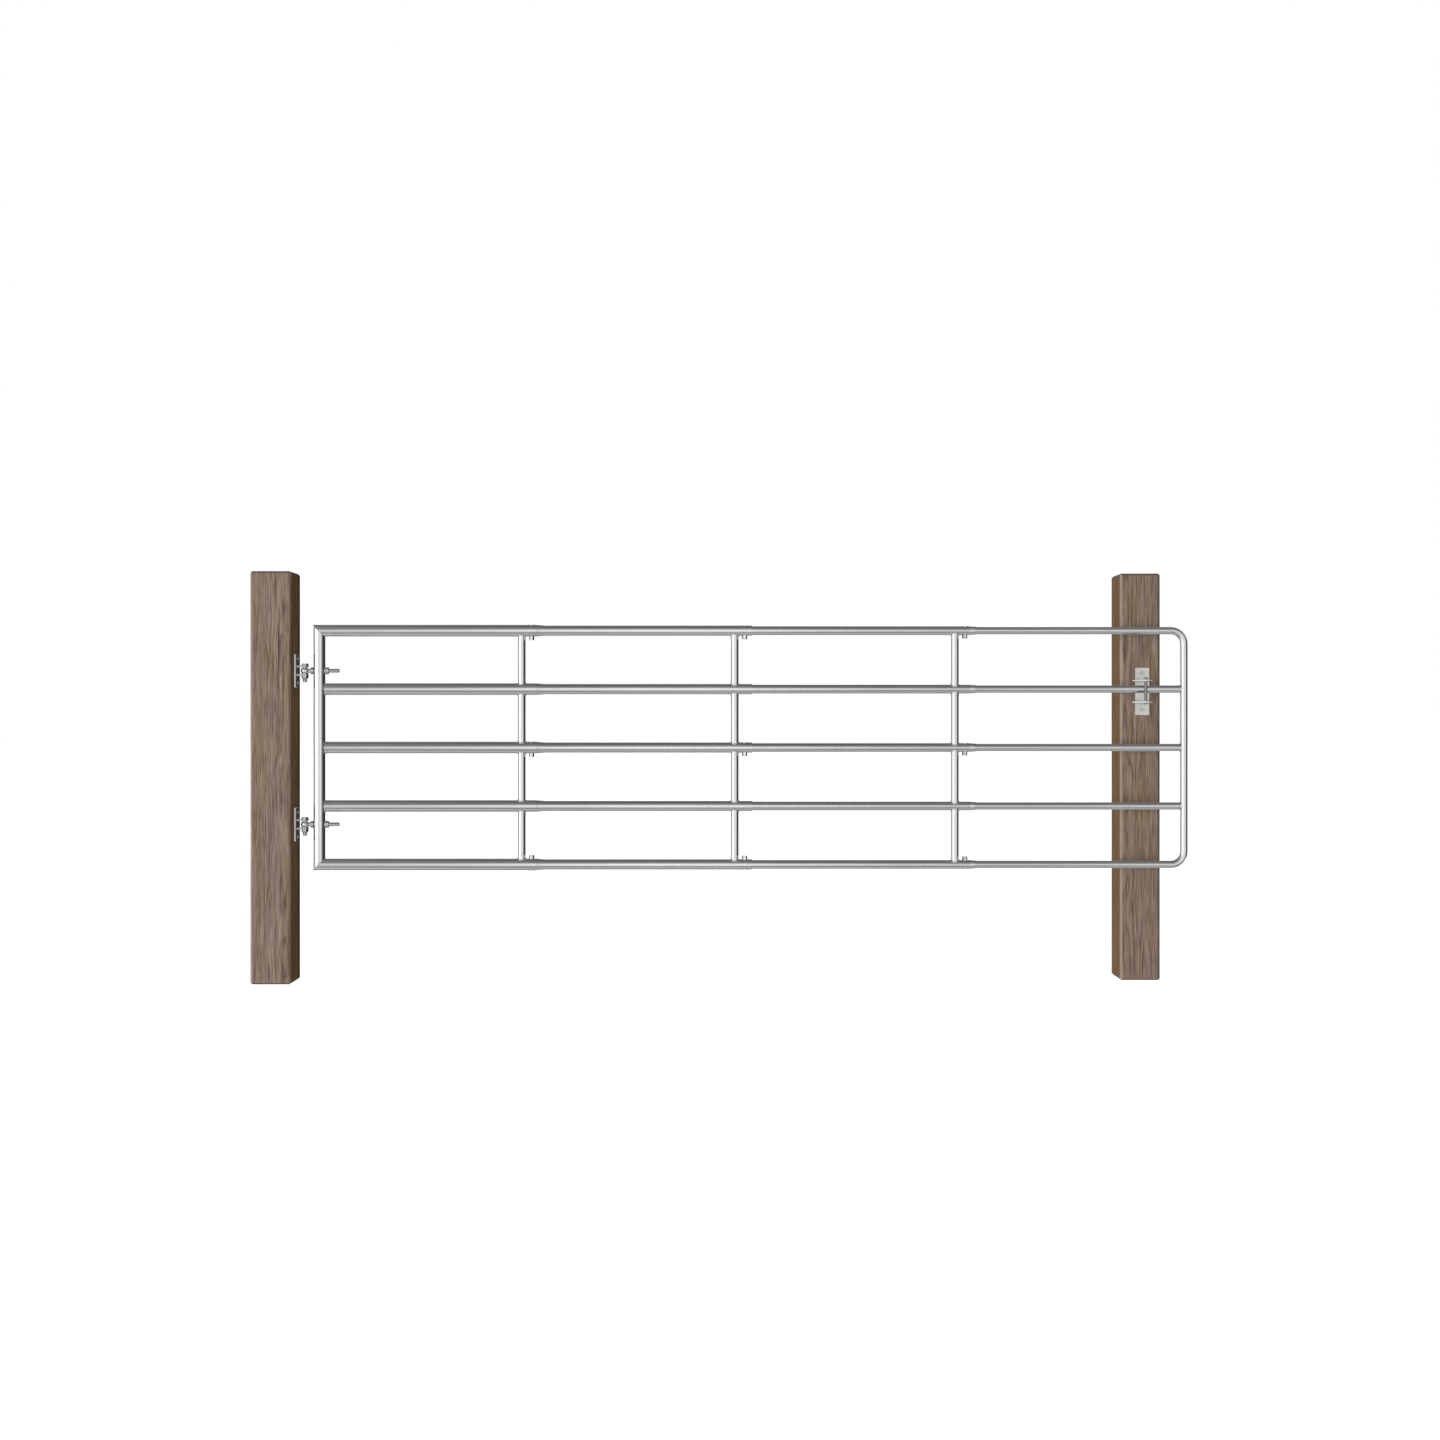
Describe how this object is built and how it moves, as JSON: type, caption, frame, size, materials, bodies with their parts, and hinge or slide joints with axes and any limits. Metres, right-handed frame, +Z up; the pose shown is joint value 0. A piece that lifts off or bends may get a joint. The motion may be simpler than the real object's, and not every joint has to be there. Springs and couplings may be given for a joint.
{
  "type": "telescopic five-bar field gate with two square timber posts",
  "caption": "Galvanised tubular five-bar field gate in telescoping sections, hung on two square timber posts with eye bolt hinges and a drop pin latch.",
  "frame": {"origin": "middle of the hinge post's foot", "axes": "+X along the gate from the hinge post to the latch post, +Y away from the side that the gate opens to, +Z up"},
  "size_m": [3.418, 0.254, 1.5],
  "materials": {
    "galvanised_steel": "hot-dip galvanised, dull grey spangle",
    "zinc_plated_fixings": "zinc plated, satin",
    "timber": "weathered, sawn softwood"
  },
  "bodies": {
    "posts": {"hinge_post": "timber", "latch_post": "timber", "upper_hinge_bracket": "galvanised_steel", "lower_hinge_bracket": "galvanised_steel", "upper_hinge_bolt": "zinc_plated_fixings", "lower_hinge_bolt": "zinc_plated_fixings", "hinge_plate_screws": "zinc_plated_fixings", "latch_bracket": "galvanised_steel", "latch_plate_screws": "zinc_plated_fixings"},
    "latch_pin": {"latch_pin": "zinc_plated_fixings"},
    "heel_section": {"heel_stile": "galvanised_steel", "first_top_rail": "galvanised_steel", "first_rail_2": "galvanised_steel", "first_rail_3": "galvanised_steel", "first_rail_4": "galvanised_steel", "first_bottom_rail": "galvanised_steel", "first_brace": "galvanised_steel", "first_lock_screws": "zinc_plated_fixings", "upper_eye_bolt": "galvanised_steel", "lower_eye_bolt": "galvanised_steel", "eye_bolt_nuts": "zinc_plated_fixings"},
    "second_section": {"second_top_rail": "galvanised_steel", "second_rail_2": "galvanised_steel", "second_rail_3": "galvanised_steel", "second_rail_4": "galvanised_steel", "second_bottom_rail": "galvanised_steel", "second_brace": "galvanised_steel", "second_lock_screws": "zinc_plated_fixings"},
    "third_section": {"third_top_rail": "galvanised_steel", "third_rail_2": "galvanised_steel", "third_rail_3": "galvanised_steel", "third_rail_4": "galvanised_steel", "third_bottom_rail": "galvanised_steel", "third_brace": "galvanised_steel", "third_lock_screws": "zinc_plated_fixings"},
    "end_section": {"end_loop": "galvanised_steel", "end_rail_2": "galvanised_steel", "end_rail_3": "galvanised_steel", "end_rail_4": "galvanised_steel"}
  },
  "joints": [
    {"name": "gate_swing", "type": "hinge", "parent": "posts", "child": "heel_section", "pos_m": [0.1084, 0, 0], "axis": [0, 0, 1], "range_deg": [-90, 0]},
    {"name": "second_section_slide", "type": "slide", "parent": "heel_section", "child": "second_section", "axis": [1, 0, 0], "range_m": [-0.085, 0.1]},
    {"name": "third_section_slide", "type": "slide", "parent": "second_section", "child": "third_section", "axis": [1, 0, 0], "range_m": [-0.085, 0.1]},
    {"name": "end_section_slide", "type": "slide", "parent": "third_section", "child": "end_section", "axis": [1, 0, 0], "range_m": [-0.085, 0.1]},
    {"name": "latch_pin_lift", "type": "slide", "parent": "posts", "child": "latch_pin", "axis": [0, 0, 1], "range_m": [0, 0.075]}
  ]
}
